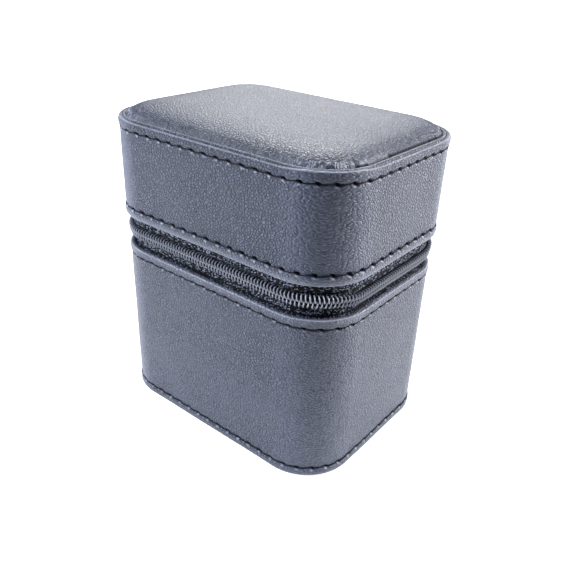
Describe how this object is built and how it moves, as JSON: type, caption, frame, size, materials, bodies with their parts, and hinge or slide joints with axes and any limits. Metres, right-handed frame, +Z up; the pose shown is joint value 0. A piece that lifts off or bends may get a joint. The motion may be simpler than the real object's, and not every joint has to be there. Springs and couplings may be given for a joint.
{
  "type": "watch travel case",
  "caption": "Zipped leather-covered travel case for a watch, with padded hinged lid, coil zip and lift-out pillow.",
  "frame": {"origin": "middle of the face that the case stands on, under the middle of the base", "axes": "+X to the right along the long side, -Y the front, +Y the hinge side, +Z up"},
  "size_m": [0.1015, 0.0746, 0.1103],
  "materials": {
    "side_leather": "pebbled coated leather, soft sheen, dark blue-grey",
    "cushion_leather": "pebbled coated leather over foam, soft sheen, dark blue-grey",
    "hinge_leather": "smooth skived leather, dark blue-grey",
    "bottom_leather": "plain coated leather, matt",
    "board": "pressed board",
    "velvet": "short-pile velvet",
    "lining_fabric": "woven lining",
    "zip_tape": "woven tape, matt black",
    "zip_coil": "black nylon filament, satin",
    "zip_metal": "black lacquered zinc",
    "pillow_suede": "microfibre suede",
    "foam": "open-cell foam"
  },
  "bodies": {
    "base": {"bottom_panel": "bottom_leather", "base_floor": "board", "base_frame": "board", "base_leather": "side_leather", "base_liner": "velvet", "floor_pad": "velvet", "tape_lower": "zip_tape", "coil_lower": "zip_coil", "stop_lower": "zip_metal", "hinge_strip": "hinge_leather", "hinge_lining": "lining_fabric"},
    "lid": {"lid_leather": "side_leather", "lid_frame": "board", "lid_board": "board", "lid_foam": "foam", "lid_cushion": "cushion_leather", "lid_liner": "velvet", "lid_ceiling": "velvet", "tape_upper": "zip_tape", "coil_upper": "zip_coil", "stop_upper": "zip_metal"},
    "slider": {"slider_body": "zip_metal"},
    "pull": {"pull_tab": "zip_metal"},
    "pillow": {"pillow_cover": "pillow_suede", "pillow_foam": "foam", "pillow_ends": "pillow_suede"}
  },
  "joints": [
    {"name": "lid_hinge", "type": "hinge", "parent": "base", "child": "lid", "pos_m": [0, 0.03675, 0.067], "axis": [-1, 0, 0], "range_deg": [0, 105], "deforming": ["hinge_strip", "hinge_lining"]},
    {"name": "slider_run", "type": "slide", "parent": "base", "child": "slider", "axis": [0, -1, 0], "range_m": [0, 0.026], "deforming": ["coil_lower", "coil_upper"]},
    {"name": "pull_swing", "type": "hinge", "parent": "slider", "child": "pull", "pos_m": [-0.05075, 0.01215, 0.067], "axis": [0, 0, -1], "range_deg": [0, 175]},
    {"name": "pillow_lift", "type": "slide", "parent": "base", "child": "pillow", "axis": [0, 0, 1], "range_m": [0, 0.022]}
  ]
}
